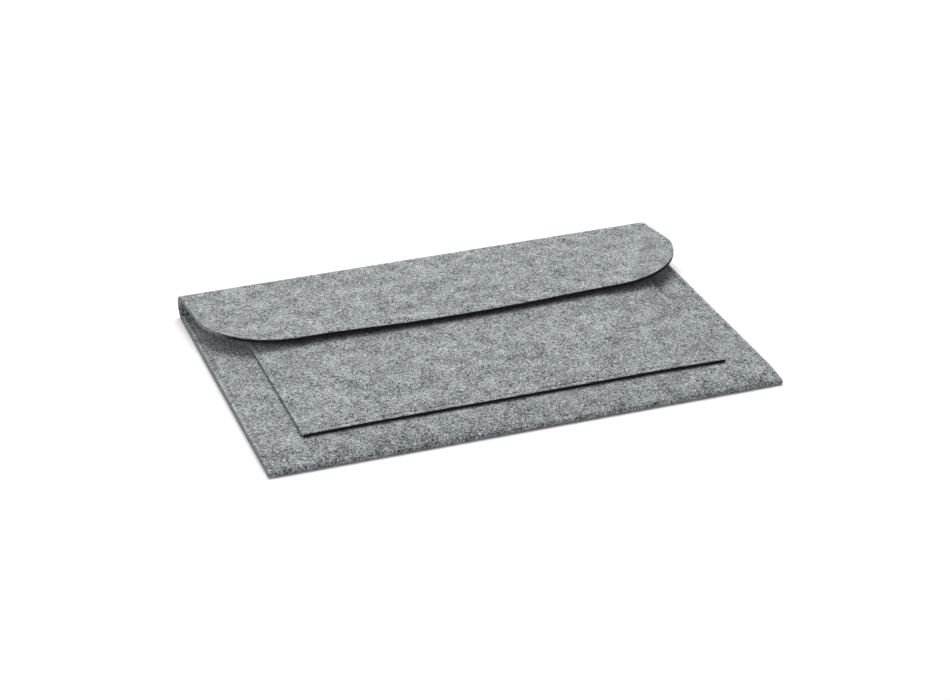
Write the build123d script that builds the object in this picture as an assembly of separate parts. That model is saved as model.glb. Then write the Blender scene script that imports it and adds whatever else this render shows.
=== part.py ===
from build123d import *
import math
import os

# A felt laptop sleeve lying on its back panel, closed. Millimetres, +Z up, mouth and rear fold towards +Y.
# One strip of felt makes the back panel, the front fold and front panel, and the rear fold and flap. A second
# piece of felt is the pocket on the front panel. The origin is under the middle of the closed sleeve.

# Felt and overall size
LENGTH = 380.0  # left to right
DEPTH = 270.0  # front fold to the back of the rear fold
FELT = 3.0  # thickness of the felt
EDGE_GAP = 0.5  # between the two layers along the sewn edges
CROWN = 4.5  # how much further apart the layers stand over the laptop's space

# Rear fold and flap
FOLD_LINES = 4  # lines that the loop bends at
FOLD_ANGLE = 180.0  # the loop's whole turn
FOLD_CLEARANCE = 0.3  # between the felt strips on both sides of a fold line
FLAP_REACH = 102.0  # from the rear fold's start to the flap's free edge
FLAP_DROOP = 2.0  # how far the free edge hangs below the flap's root
FLAP_GAP = 1.0  # from the pocket up to the flap's free edge
FLAP_CORNER_RADIUS = 67.0

# Front panel
MOUTH_SETBACK = 4.0  # front panel's free edge, short of the rear fold's start
SEAM_ALLOWANCE = 6.0  # flat margin that the side seams are sewn in
SIDE_RISE = 74.0  # width of the slope from the seam up to the crown
FRONT_RISE = 100.0  # the same, from the front fold

# Pocket
POCKET_LEFT_MARGIN = 33.5
POCKET_RIGHT_MARGIN = 29.0
POCKET_FRONT_MARGIN = 35.0
POCKET_MOUTH_SETBACK = 22.0  # pocket's free edge, short of the front panel's

# Thread
THREAD = 0.8  # width of a seam's thread
STITCH = 3.5  # length of one stitch
SIDE_SEAM_INSET = 3.5  # seam to cut edge, at the sides
POCKET_SEAM_INSET = 4.0  # seam to cut edge, on the pocket
THREAD_PROUD = 0.2  # height of a stitch over the felt
THREAD_SUNK = 0.4  # depth of a stitch in the felt

# Hook and loop closure
PATCH_LENGTH = 60.0
PATCH_DEPTH = 25.0
LOOP_THICKNESS = 0.8  # the hook patch fills what is left under the flap
PATCH_CLEARANCE = 0.3  # between the two patches
PATCH_SETBACK = 18.0  # from the flap's free edge to the patches

# Places that follow from the sizes
FRONT_PANEL_Z = FELT + EDGE_GAP
POCKET_Z = FRONT_PANEL_Z + FELT
POCKET_TOP_Z = POCKET_Z + FELT
FLAP_TOP_Z = POCKET_TOP_Z + CROWN + FLAP_GAP + FELT + FLAP_DROOP
REAR_FOLD_RADIUS = FLAP_TOP_Z / 2  # outside of the loop
FRONT_FOLD_RADIUS = FELT + EDGE_GAP / 2
FRONT_Y = -DEPTH / 2 + FRONT_FOLD_RADIUS
REAR_Y = DEPTH / 2 - REAR_FOLD_RADIUS
MOUTH_Y = REAR_Y - MOUTH_SETBACK
FREE_EDGE_Y = REAR_Y - FLAP_REACH
FLAP_BEND_RADIUS = (FLAP_REACH**2 + FLAP_DROOP**2) / (2 * FLAP_DROOP)
POCKET_LEFT_X = -LENGTH / 2 + POCKET_LEFT_MARGIN
POCKET_RIGHT_X = LENGTH / 2 - POCKET_RIGHT_MARGIN
POCKET_FRONT_Y = -DEPTH / 2 + POCKET_FRONT_MARGIN
POCKET_MOUTH_Y = MOUTH_Y - POCKET_MOUTH_SETBACK
BEYOND = 2 * REAR_FOLD_RADIUS  # how far a cutting shape runs past what it cuts


def plan_box(low_x, high_x, low_y, high_y, low_z=-BEYOND, high_z=3 * BEYOND):
    """A box between two corners."""
    size = (high_x - low_x, high_y - low_y, high_z - low_z)
    return Pos(low_x, low_y, low_z) * Box(*size, align=(Align.MIN, Align.MIN, Align.MIN))


def under_crown(level):
    """All that lies under the crowned surface whose flat margin is at this level."""
    base = plan_box(-LENGTH / 2, LENGTH / 2, FRONT_Y, MOUTH_Y, high_z=level)
    foot_half = LENGTH / 2 - SEAM_ALLOWANCE
    top_half = foot_half - SIDE_RISE
    foot = Polygon(
        (-foot_half, FRONT_Y), (foot_half, FRONT_Y), (foot_half, MOUTH_Y), (-foot_half, MOUTH_Y), align=None
    )
    top_y = FRONT_Y + FRONT_RISE
    top = Polygon((-top_half, top_y), (top_half, top_y), (top_half, MOUTH_Y), (-top_half, MOUTH_Y), align=None)
    rise = loft([Pos(0, 0, level) * foot, Pos(0, 0, level + CROWN) * top], ruled=True)
    return base + rise


def crowned_layer(low, high):
    """A sheet that follows the crown, between two levels measured at the flat margin."""
    return under_crown(high) - under_crown(low)


def at_fold(degrees, radius):
    """The point (y, z) on the rear fold, by its turn from the back panel."""
    turn = math.radians(degrees - 90)
    return REAR_Y + radius * math.cos(turn), REAR_FOLD_RADIUS + radius * math.sin(turn)


def shell_profile():
    """The side view (y, z) of the felt strip, from the front fold's start to the flap's free edge."""
    inner = REAR_FOLD_RADIUS - FELT
    top = FLAP_TOP_Z
    lean = math.asin(FLAP_REACH / FLAP_BEND_RADIUS)
    bend_z = top - FLAP_BEND_RADIUS

    def on_flap(radius, share):
        """The point on the flap at this bend radius and share of its length."""
        return REAR_Y - radius * math.sin(lean * share), bend_z + radius * math.cos(lean * share)

    under = FLAP_BEND_RADIUS - FELT
    outline = [
        Line((FRONT_Y, 0), (REAR_Y, 0)),
        ThreePointArc((REAR_Y, 0), at_fold(90, REAR_FOLD_RADIUS), (REAR_Y, top)),
        ThreePointArc((REAR_Y, top), on_flap(FLAP_BEND_RADIUS, 0.5), on_flap(FLAP_BEND_RADIUS, 1)),
        Line(on_flap(FLAP_BEND_RADIUS, 1), on_flap(under, 1)),
        ThreePointArc(on_flap(under, 1), on_flap(under, 0.5), (REAR_Y, top - FELT)),
        ThreePointArc((REAR_Y, top - FELT), at_fold(90, inner), (REAR_Y, FELT)),
        Line((REAR_Y, FELT), (FRONT_Y, FELT)),
        Line((FRONT_Y, FELT), (FRONT_Y, 0)),
    ]
    return make_face(outline)


def fold_slit(number):
    """The cut at one fold line: a slit inside, and a V outside that closes as the fold opens flat."""
    turn = FOLD_ANGLE / FOLD_LINES
    spread = BEYOND * math.tan(math.radians(turn / 2))
    half = FOLD_CLEARANCE / 2
    cut = Polygon(
        (-half, 0),
        (-half - spread, -BEYOND),
        (half + spread, -BEYOND),
        (half, 0),
        (half, FELT),
        (-half, FELT),
        align=None,
    )
    degrees = turn * (number + 0.5)
    hinge_y, hinge_z = at_fold(degrees, REAR_FOLD_RADIUS - FELT / 2)
    return Pos(hinge_y, hinge_z) * Rot(0, 0, degrees) * cut


def shell_strips():
    """The felt strip cut at its fold lines: back panel, the fold's strips and the flap, full length."""
    cut = shell_profile()
    for number in range(FOLD_LINES):
        cut -= fold_slit(number)
    across = Plane(origin=(-LENGTH / 2, 0, 0), x_dir=(0, 1, 0), z_dir=(1, 0, 0))
    pieces = [extrude(across * face, LENGTH) for face in cut.faces()]
    back = min(pieces, key=lambda piece: piece.bounding_box().min.Y)
    others = [piece for piece in pieces if piece is not back]
    return [back] + sorted(others, key=lambda piece: piece.bounding_box().center().Z)


def flap_outline():
    """The flap's plan: full length, with round front corners."""
    middle = (FREE_EDGE_Y + DEPTH) / 2
    plan = Pos(0, middle) * Rectangle(LENGTH, DEPTH - FREE_EDGE_Y)
    front_corners = plan.vertices().sort_by(Axis.Y)[:2]
    return extrude(fillet(front_corners, FLAP_CORNER_RADIUS), 3 * BEYOND)


def front_fold():
    """The rolled edge that joins the back panel to the front panel."""
    across = Plane(origin=(-LENGTH / 2, FRONT_Y, FRONT_FOLD_RADIUS), x_dir=(0, 1, 0), z_dir=(1, 0, 0))
    ring = Circle(FRONT_FOLD_RADIUS) - Circle(EDGE_GAP / 2)
    half_ring = ring & Pos(-BEYOND, 0) * Rectangle(2 * BEYOND, 2 * BEYOND)
    return extrude(across * half_ring, LENGTH)


def front_panel():
    """The upper layer of the pouch."""
    return crowned_layer(FRONT_PANEL_Z, POCKET_Z)


def pocket_panel():
    """The felt rectangle sewn on the front panel, open towards the mouth."""
    plan = plan_box(POCKET_LEFT_X, POCKET_RIGHT_X, POCKET_FRONT_Y, POCKET_MOUTH_Y)
    return crowned_layer(POCKET_Z, POCKET_TOP_Z) & plan


def crown_height(x, y):
    """How far the crown lifts the felt over its flat margin at this place."""
    from_side = (LENGTH / 2 - SEAM_ALLOWANCE - abs(x)) / SIDE_RISE
    from_front = (y - FRONT_Y) / FRONT_RISE
    return CROWN * max(0, min(from_side, from_front, 1))


def stitches(start, end, low, high):
    """A straight lockstitch in plan from start to end, through the felt between two levels."""
    run = math.dist(start, end)
    count = max(1, round(run / STITCH))
    step = run / count
    half = THREAD / 2

    def at(along, level):
        """A point on the seam: its distance from the start, and its level at the flat margin."""
        share = along / run
        x = start[0] + (end[0] - start[0]) * share
        y = start[1] + (end[1] - start[1]) * share
        return x, y, level + crown_height(x, y)

    stations = [-half] + [step * number for number in range(count + 1)] + [run + half]
    under = [at(along, low) for along in stations]
    over = [at(along, high + THREAD_PROUD) for along in reversed(stations)]
    windows = []
    for number in range(count):
        near = step * number + half
        far = step * (number + 1) - half
        bottom = low + THREAD_SUNK
        top = high - THREAD_SUNK
        corners = [at(near, bottom), at(far, bottom), at(far, top), at(near, top)]
        windows.append(Wire.make_polygon(corners))
    side_view = Face(Wire.make_polygon(under + over), windows)
    return extrude(side_view, half, both=True)


def side_stitching(side):
    """The seam that joins the front and back panels on one side, -1 left or 1 right."""
    x = side * (LENGTH / 2 - SIDE_SEAM_INSET)
    end_inset = STITCH
    return stitches((x, FRONT_Y + end_inset), (x, MOUTH_Y - end_inset), THREAD_PROUD, POCKET_Z)


def pocket_stitching():
    """The U-shaped seam that joins the pocket to the front panel."""
    left = POCKET_LEFT_X + POCKET_SEAM_INSET
    right = POCKET_RIGHT_X - POCKET_SEAM_INSET
    front = POCKET_FRONT_Y + POCKET_SEAM_INSET
    rear = POCKET_MOUTH_Y - STITCH
    corners = [(left, rear), (left, front), (right, front), (right, rear)]
    runs = [stitches(a, b, FRONT_PANEL_Z, POCKET_TOP_Z) for a, b in zip(corners, corners[1:])]
    return Part() + runs


def patch_plan(low_z, high_z):
    """The closure's place, between two levels."""
    near = FREE_EDGE_Y + PATCH_SETBACK
    return plan_box(-PATCH_LENGTH / 2, PATCH_LENGTH / 2, near, near + PATCH_DEPTH, low_z, high_z)


def loop_patch():
    """The soft half of the closure, glued on the pocket."""
    level = POCKET_TOP_Z + CROWN
    return patch_plan(level, level + LOOP_THICKNESS)


def hook_patch(flap):
    """The hooked half of the closure, glued under the flap and following its bend."""
    low = POCKET_TOP_Z + CROWN + LOOP_THICKNESS + PATCH_CLEARANCE
    behind = FLAP_REACH - PATCH_SETBACK
    bent = FLAP_BEND_RADIUS - math.sqrt(FLAP_BEND_RADIUS**2 - behind**2)
    inside_felt = FLAP_TOP_Z - bent - FELT / 2
    return patch_plan(low, inside_felt) - flap


def build():
    """All the nodes, by name."""
    back, lower, middle, upper, flap_strip = shell_strips()
    flap = flap_strip & flap_outline()
    return {
        "back_panel": back,
        "front_fold": front_fold(),
        "front_panel": front_panel(),
        "pocket_panel": pocket_panel(),
        "rear_fold_lower": lower,
        "rear_fold_middle": middle,
        "rear_fold_upper": upper,
        "flap": flap,
        "left_side_stitching": side_stitching(-1),
        "right_side_stitching": side_stitching(1),
        "pocket_stitching": pocket_stitching(),
        "loop_patch": loop_patch(),
        "hook_patch": hook_patch(flap),
    }


os.makedirs("parts", exist_ok=True)
for name, shape in build().items():
    export_step(shape, f"parts/{name}.step")
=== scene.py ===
"""A grey felt laptop sleeve, modelled as its maker would cut, fold and sew it.

Everything is in metres. +X runs along the sleeve, +Y from the front fold to the mouth, +Z up.
"""

import logging
import math
from dataclasses import dataclass
from enum import Enum
from typing import Callable

import bmesh
import bpy
import numpy as np
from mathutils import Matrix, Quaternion, Vector, noise


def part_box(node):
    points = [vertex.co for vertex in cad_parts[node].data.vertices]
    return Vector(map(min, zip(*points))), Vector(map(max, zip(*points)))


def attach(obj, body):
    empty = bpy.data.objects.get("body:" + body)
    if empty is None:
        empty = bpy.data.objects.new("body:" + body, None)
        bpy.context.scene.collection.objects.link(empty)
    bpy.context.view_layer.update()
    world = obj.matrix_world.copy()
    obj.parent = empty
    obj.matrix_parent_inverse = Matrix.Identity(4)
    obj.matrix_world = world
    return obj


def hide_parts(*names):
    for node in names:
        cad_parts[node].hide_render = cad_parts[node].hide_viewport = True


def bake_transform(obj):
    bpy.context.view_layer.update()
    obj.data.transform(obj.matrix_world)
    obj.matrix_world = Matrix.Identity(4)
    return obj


MM = 0.001
PLACE = "felt_place"
FLAT_X = "flat_x"
FLAT_Y = "flat_y"
# The share of painted shade where a face is drawn in, by stitches and by the pressed fold.
PAINTED_SHADE_DRAWN_IN = "painted_shade_drawn_in"
# The share of painted shade on a cut edge.
PAINTED_EDGE_SHADE = "painted_edge_shade"
SEAM_PLACES = np.array([-2.0, -1.3, -0.65, 0.0, 0.65, 1.3, 2.0]) * MM
SEAM_CLEAR = 0.2 * MM
EDGE_CLEAR = 1.2 * MM
SHARP = math.radians(60)
TOUCHING = 1e-6
TINY = 1e-12

log = logging.getLogger("sleeve")
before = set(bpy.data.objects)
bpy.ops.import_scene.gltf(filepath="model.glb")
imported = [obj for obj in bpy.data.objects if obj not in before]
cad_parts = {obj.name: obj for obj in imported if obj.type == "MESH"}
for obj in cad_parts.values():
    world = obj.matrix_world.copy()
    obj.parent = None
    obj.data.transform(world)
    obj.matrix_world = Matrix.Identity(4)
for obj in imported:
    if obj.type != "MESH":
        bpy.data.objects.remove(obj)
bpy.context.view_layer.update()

Field = Callable[[np.ndarray, np.ndarray], np.ndarray]


# ---------------------------------------------------------------------------------------------- shading


class Signal:
    """A shader socket that Python's operators work on; each operator adds its Math node."""

    def __init__(self, shader: "Shader", socket: bpy.types.NodeSocket) -> None:
        """Wrap one output socket of a shader."""
        self.shader = shader
        self.socket = socket

    def _math(self, operation: str, *values: "Signal | float") -> "Signal":
        """Add a Math node.

        Args:
            operation: the node's operation.
            values: its inputs, in order.

        Returns:
            The node's output.
        """
        return self.shader.node("ShaderNodeMath", {"operation": operation}, dict(enumerate(values)))

    def __add__(self, other: "Signal | float") -> "Signal":
        """Sum."""
        return self._math("ADD", self, other)

    def __sub__(self, other: "Signal | float") -> "Signal":
        """Difference."""
        return self._math("SUBTRACT", self, other)

    def __rsub__(self, other: float) -> "Signal":
        """A number less this."""
        return self._math("SUBTRACT", other, self)

    def __mul__(self, other: "Signal | float") -> "Signal":
        """Product."""
        return self._math("MULTIPLY", self, other)

    __radd__ = __add__
    __rmul__ = __mul__

    def away_from(self, middle: float) -> "Signal":
        """How far this is from a middle value, either way."""
        return self._math("ABSOLUTE", self - middle)

    def clamped(self) -> "Signal":
        """This, kept from 0 to 1."""
        return self._math("MINIMUM", self._math("MAXIMUM", self, 0.0), 1.0)

    def stretched(self, contrast: float, shade: float) -> "Signal":
        """This with more contrast, then darkened, and kept from 0 to 1."""
        return (self * contrast - shade).clamped()


class Shader:
    """A new material's node tree, with its Principled surface."""

    def __init__(self, name: str, settings: dict[str, float]) -> None:
        """Make the material.

        Args:
            name: the material's name.
            settings: the values of the surface's sockets that are the same all over.
        """
        self.material = bpy.data.materials.new(name)
        self.material.use_nodes = True
        self.tree = self.material.node_tree
        self.surface = self.tree.nodes["Principled BSDF"]
        for socket, value in settings.items():
            self.surface.inputs[socket].default_value = value

    def node(
        self, kind: str, settings: dict | None = None, inputs: dict | None = None, out: int | str = 0
    ) -> Signal:
        """Add a node.

        Args:
            kind: the node's type.
            settings: its properties, set before its sockets.
            inputs: values or signals for its sockets, by name or number.
            out: the output wanted.

        Returns:
            That output.
        """
        node = self.tree.nodes.new(kind)
        for name, value in (settings or {}).items():
            setattr(node, name, value)
        for name, value in (inputs or {}).items():
            self.feed(node.inputs[name], value)
        return Signal(self, node.outputs[out])

    def feed(self, socket: bpy.types.NodeSocket, value: "Signal | float | tuple") -> None:
        """Link a signal to a socket, or set its value.

        Args:
            socket: the input.
            value: the signal, or the value.
        """
        if isinstance(value, Signal):
            self.tree.links.new(value.socket, socket)
        else:
            socket.default_value = value

    def vector(self, operation: str, first: Signal, second: "Signal | tuple") -> Signal:
        """A Vector Math node of two vectors."""
        return self.node("ShaderNodeVectorMath", {"operation": operation}, {0: first, 1: second})

    def place(self, attribute: str | None = None) -> Signal:
        """The place that a finish is read at, in millimetres.

        Args:
            attribute: the piece's own attribute that keeps it, or None for object coordinates.

        Returns:
            The place.
        """
        if attribute:
            place = self.node("ShaderNodeAttribute", {"attribute_name": attribute}, None, "Vector")
        else:
            place = self.node("ShaderNodeTexCoord", None, None, "Object")
        return self.scaled(place, 1 / MM)

    def field(self, attribute: str) -> Signal:
        """One of the piece's own attributes."""
        return self.node("ShaderNodeAttribute", {"attribute_name": attribute}, None, "Fac")

    def scaled(self, place: Signal, *scale: float) -> Signal:
        """A place times one factor, or times one for each axis."""
        return self.vector("MULTIPLY", place, scale * 3 if len(scale) == 1 else scale)

    def blend(self, amount: Signal, low: "Signal | tuple", high: "Signal | tuple") -> Signal:
        """Mix two colours.

        Args:
            amount: 0 for the first, 1 for the second.
            low: the first colour.
            high: the second colour.

        Returns:
            The mixed colour.
        """
        mixed = self.tree.nodes.new("ShaderNodeMix")
        mixed.data_type = "RGBA"
        for socket, value in (("Factor_Float", amount), ("A_Color", low), ("B_Color", high)):
            self.feed(next(s for s in mixed.inputs if s.identifier == socket), value)
        return Signal(self, next(s for s in mixed.outputs if s.identifier == "Result_Color"))

    def noise(self, place: Signal, scale: float, detail: float, out: int | str = 0) -> Signal:
        """Fractal noise.

        Args:
            place: where it is read.
            scale: its features per unit of place.
            detail: its octaves.
            out: the output wanted.

        Returns:
            The noise.
        """
        return self.node("ShaderNodeTexNoise", None, {"Vector": place, "Scale": scale, "Detail": detail}, out)

    def finish(self, colour: Signal, height: Signal, relief: float, strength: float) -> bpy.types.Material:
        """Connect colour and relief to the surface.

        Args:
            colour: the base colour.
            height: the relief, from 0 to 1.
            relief: its depth in metres.
            strength: how much of it shows.

        Returns:
            The material.
        """
        bump = self.node("ShaderNodeBump", None, {"Height": height, "Distance": relief, "Strength": strength})
        self.feed(self.surface.inputs["Normal"], bump)
        self.feed(self.surface.inputs["Base Color"], colour)
        return self.material


def grey(level: float, coolness: float = 0.055) -> tuple[float, float, float, float]:
    """A slightly cool grey.

    Args:
        level: its linear brightness.
        coolness: the share that red loses, four times what blue gains.

    Returns:
        The colour, with alpha.
    """
    return (level * (1 - coolness), level, level * (1 + coolness / 4), 1.0)


@dataclass(frozen=True)
class Fibres:
    """One lot of curly fibres, drawn as the level lines of a noise.

    Attributes:
        per_mm: curls per millimetre.
        offset: what sets the lot apart from the others.
        width: a fibre's width, as a share of the noise's range.
        share: how strongly the lot shows.
    """

    per_mm: float
    offset: float
    width: float
    share: float

    def lines(self, shader: Shader, place: Signal) -> Signal:
        """Draw the lot.

        Args:
            shader: the shader to add it to.
            place: the felt's place, in millimetres.

        Returns:
            The lot's share on a fibre's middle, falling to 0 at the fibre's sides.
        """
        moved = shader.vector("ADD", place, (self.offset, -self.offset, self.offset))
        level = shader.noise(moved, self.per_mm, 1.0)
        return (1.0 - level.away_from(0.5) * (1.0 / self.width)).clamped() * self.share


@dataclass(frozen=True)
class FeltFinish:
    """Marl felt: pale and dark fibres tangled in a mid grey, in soft clouds, with painted shade where its
    faces are drawn in.
    """

    name: str = "grey_marl_felt"
    dark: float = 0.035
    dark_coolness: float = 0.2
    pale: float = 0.62
    middle: float = 0.388
    pale_fibres: float = 0.66
    dark_fibres: float = 0.66
    pale_lots: tuple[Fibres, Fibres] = (Fibres(0.42, 0.0, 0.055, 1.0), Fibres(0.7, 31.0, 0.06, 0.8))
    dark_lots: tuple[Fibres, Fibres] = (Fibres(0.36, 57.0, 0.05, 1.0), Fibres(0.62, 83.0, 0.06, 0.8))
    clouds: float = 0.92
    clouds_per_mm: float = 0.07
    grain: float = 0.6
    grain_per_mm: float = 1.5
    tangle: float = 3.0
    tangle_per_mm: float = 0.35
    # How much painted shade darkens the felt in its stitch grooves and along the pressed front fold.
    seam_painted_shade: float = 0.18
    relief: float = 0.35 * MM
    relief_strength: float = 0.35
    roughness: float = 0.95
    sheen: float = 0.24

    def material(self) -> bpy.types.Material:
        """Build the material.

        Returns:
            The material.
        """
        settings = {"Roughness": self.roughness, "Sheen Weight": self.sheen, "Specular IOR Level": 0.2}
        shader = Shader(self.name, settings)
        place = shader.place(PLACE)
        curl = shader.noise(place, self.tangle_per_mm, 1.0, "Color")
        curl = shader.vector("SUBTRACT", curl, (0.5, 0.5, 0.5))
        place = shader.vector("ADD", place, shader.scaled(curl, self.tangle))
        pale = self.pale_lots[0].lines(shader, place) + self.pale_lots[1].lines(shader, place)
        dark = self.dark_lots[0].lines(shader, place) + self.dark_lots[1].lines(shader, place)
        clouds = shader.noise(place, self.clouds_per_mm, 3.0) - 0.5
        grain = shader.noise(place, self.grain_per_mm, 1.0) - 0.5
        tone = clouds * self.clouds + grain * self.grain + pale * self.pale_fibres - dark * self.dark_fibres
        # Painted shade: the felt is darkened where its faces are drawn in, in the stitch grooves and along
        # the pressed front fold.
        tone = (tone + self.middle - shader.field(PAINTED_SHADE_DRAWN_IN) * self.seam_painted_shade).clamped()
        colour = shader.blend(tone, grey(self.dark, self.dark_coolness), grey(self.pale))
        return shader.finish(colour, tone, self.relief, self.relief_strength)


@dataclass(frozen=True)
class CutEdgeFinish:
    """The felt's cut edge: painted shade makes it nearly black where it faces the front or lies under the
    flap, and partly darkens it at the sides; the bare edge looks like the felt.
    """

    name: str = "felt_cut_edge"
    # dark and pale: the nearly black painted shade of the cut edge; the bare edge's own colours follow.
    dark: float = 0.004
    pale: float = 0.030
    bare_edge_dark: float = 0.03
    bare_edge_pale: float = 0.46
    roughness: float = 0.9
    layers: tuple[float, float, float] = (0.5, 0.5, 2.2)
    layer_contrast: tuple[float, float] = (2.4, 0.7)
    marl_per_mm: float = 0.8
    marl_contrast: tuple[float, float] = (4.0, 1.5)
    relief: float = 0.3 * MM
    relief_strength: float = 0.5

    def material(self) -> bpy.types.Material:
        """Build the material.

        Returns:
            The material.
        """
        shader = Shader(self.name, {"Roughness": self.roughness, "Specular IOR Level": 0.15})
        place = shader.place(PLACE)
        layers = shader.noise(shader.scaled(place, *self.layers), 1.0, 3.0)
        tone = layers.stretched(*self.layer_contrast)
        marl = shader.noise(place, self.marl_per_mm, 2.0).stretched(*self.marl_contrast)
        cut = shader.blend(marl, grey(self.bare_edge_dark), grey(self.bare_edge_pale))
        # Painted shade: the edge's own colour is blended to nearly black by its painted-shade share.
        edge_in_painted_shade = shader.blend(tone, grey(self.dark), grey(self.pale))
        colour = shader.blend(shader.field(PAINTED_EDGE_SHADE), cut, edge_in_painted_shade)
        return shader.finish(colour, tone, self.relief, self.relief_strength)


@dataclass(frozen=True)
class ThreadFinish:
    """Spun polyester sewing thread, a little darker than the felt."""

    name: str = "sewing_thread"
    dark: float = 0.06
    pale: float = 0.17
    roughness: float = 0.75
    twist: tuple[float, float, float] = (1.9, 1.3, 2.3)
    contrast: tuple[float, float] = (2.0, 0.5)
    relief: float = 0.1 * MM
    relief_strength: float = 0.6

    def material(self) -> bpy.types.Material:
        """Build the material.

        Returns:
            The material.
        """
        shader = Shader(self.name, {"Roughness": self.roughness, "Sheen Weight": 0.1})
        twist = shader.noise(shader.scaled(shader.place(), *self.twist), 1.0, 2.0)
        tone = twist.stretched(*self.contrast)
        colour = shader.blend(tone, grey(self.dark), grey(self.pale))
        return shader.finish(colour, tone, self.relief, self.relief_strength)


@dataclass(frozen=True)
class TapeFinish:
    """Hook-and-loop tape: charcoal nylon with a fine woven ground."""

    name: str
    dark: float
    pale: float
    roughness: float
    pile: float
    pile_per_mm: float = 1.8
    pile_depth: float = 1.6
    ribs_per_mm: float = 0.4
    rib_depth: float = 0.25
    shade: float = 0.45
    relief: float = 0.3 * MM
    relief_strength: float = 0.8

    def material(self) -> bpy.types.Material:
        """Build the material.

        Returns:
            The material.
        """
        shader = Shader(self.name, {"Roughness": self.roughness, "Sheen Weight": self.pile})
        place = shader.place()
        pile = shader.noise(place, self.pile_per_mm, 3.0)
        weave = {"Vector": place, "Scale": self.ribs_per_mm}
        ribs = shader.node("ShaderNodeTexWave", {"bands_direction": "Y"}, weave, "Fac")
        tone = (pile * self.pile_depth + ribs * self.rib_depth - self.shade).clamped()
        colour = shader.blend(tone, grey(self.dark), grey(self.pale))
        return shader.finish(colour, tone, self.relief, self.relief_strength)


@dataclass(frozen=True)
class FloorFinish:
    """A plain, nearly white studio floor with the least unevenness."""

    name: str = "studio_floor"
    level: float = 0.96
    roughness: float = 0.9
    patches_per_metre: float = 6.0
    relief: float = 0.1 * MM
    relief_strength: float = 0.02

    def material(self) -> bpy.types.Material:
        """Build the material.

        Returns:
            The material.
        """
        shader = Shader(self.name, {"Roughness": self.roughness, "Specular IOR Level": 0.0})
        place = shader.node("ShaderNodeTexCoord", None, None, "Object")
        tone = shader.noise(place, self.patches_per_metre, 2.0)
        colour = shader.blend(tone, grey(self.level, 0.0), grey(1.0, 0.0))
        return shader.finish(colour, tone, self.relief, self.relief_strength)


# ---------------------------------------------------------------------------------------------- mesh tools


def smoothstep(x: np.ndarray) -> np.ndarray:
    """0 below 0, 1 above 1, and smooth between."""
    x = np.clip(x, 0.0, 1.0)
    return x * x * (3.0 - 2.0 * x)


def deselect() -> None:
    """Leave nothing selected, in object mode."""
    if bpy.context.object and bpy.context.object.mode != "OBJECT":
        bpy.ops.object.mode_set(mode="OBJECT")
    bpy.ops.object.select_all(action="DESELECT")


def activate(piece: bpy.types.Object) -> None:
    """Select one object, and make it the active one.

    Args:
        piece: the object.
    """
    deselect()
    piece.select_set(True)
    bpy.context.view_layer.objects.active = piece


def apply_modifier(piece: bpy.types.Object, kind: str, **settings: object) -> None:
    """Add a modifier and apply it.

    Args:
        piece: the object.
        kind: the modifier's type.
        settings: its properties.
    """
    activate(piece)
    modifier = piece.modifiers.new(kind.lower(), kind)
    for name, value in settings.items():
        setattr(modifier, name, value)
    bpy.ops.object.modifier_apply(modifier=modifier.name)


def repeat(piece: bpy.types.Object, count: int, step: tuple[float, float, float]) -> None:
    """Copy a piece's mesh in a row.

    Args:
        piece: the object, which becomes the whole row.
        count: how many there are in the end.
        step: the way from one to the next.
    """
    apply_modifier(
        piece, "ARRAY", count=count, use_relative_offset=False, use_constant_offset=True,
        constant_offset_displace=step,
    )


def join(pieces: list[bpy.types.Object]) -> bpy.types.Object:
    """Make several pieces one.

    Args:
        pieces: the objects, of which the first is kept.

    Returns:
        The first, with all of their meshes.
    """
    activate(pieces[0])
    for piece in pieces[1:]:
        piece.select_set(True)
    bpy.ops.object.join()
    return pieces[0]


def face_outwards(piece: bpy.types.Object) -> None:
    """Turn all of a closed piece's faces outwards.

    Args:
        piece: the object.
    """
    activate(piece)
    bpy.ops.object.mode_set(mode="EDIT")
    bpy.ops.mesh.select_all(action="SELECT")
    bpy.ops.mesh.normals_make_consistent(inside=False)
    bpy.ops.object.mode_set(mode="OBJECT")


def points_of(piece: bpy.types.Object) -> np.ndarray:
    """Read the mesh's points.

    Args:
        piece: the object.

    Returns:
        The points, one row each.
    """
    points = np.empty(len(piece.data.vertices) * 3)
    piece.data.vertices.foreach_get("co", points)
    return points.reshape(-1, 3)


def move_points(piece: bpy.types.Object, points: np.ndarray) -> None:
    """Put the mesh's points at these places."""
    piece.data.vertices.foreach_set("co", points.ravel())
    piece.data.update()


def read_field(piece: bpy.types.Object, name: str) -> np.ndarray:
    """Read one value per point.

    Args:
        piece: the object.
        name: the attribute's name.

    Returns:
        The values.
    """
    values = np.empty(len(piece.data.vertices))
    piece.data.attributes[name].data.foreach_get("value", values)
    return values


def write_field(piece: bpy.types.Object, name: str, values: np.ndarray) -> None:
    """Keep one value, or one vector, per point.

    Args:
        piece: the object.
        name: the attribute's name.
        values: the values, one row each.
    """
    kind, key = ("FLOAT_VECTOR", "vector") if values.ndim == 2 else ("FLOAT", "value")
    attribute = piece.data.attributes.new(name, kind, "POINT")
    attribute.data.foreach_set(key, values.ravel().astype(np.float32))


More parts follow.
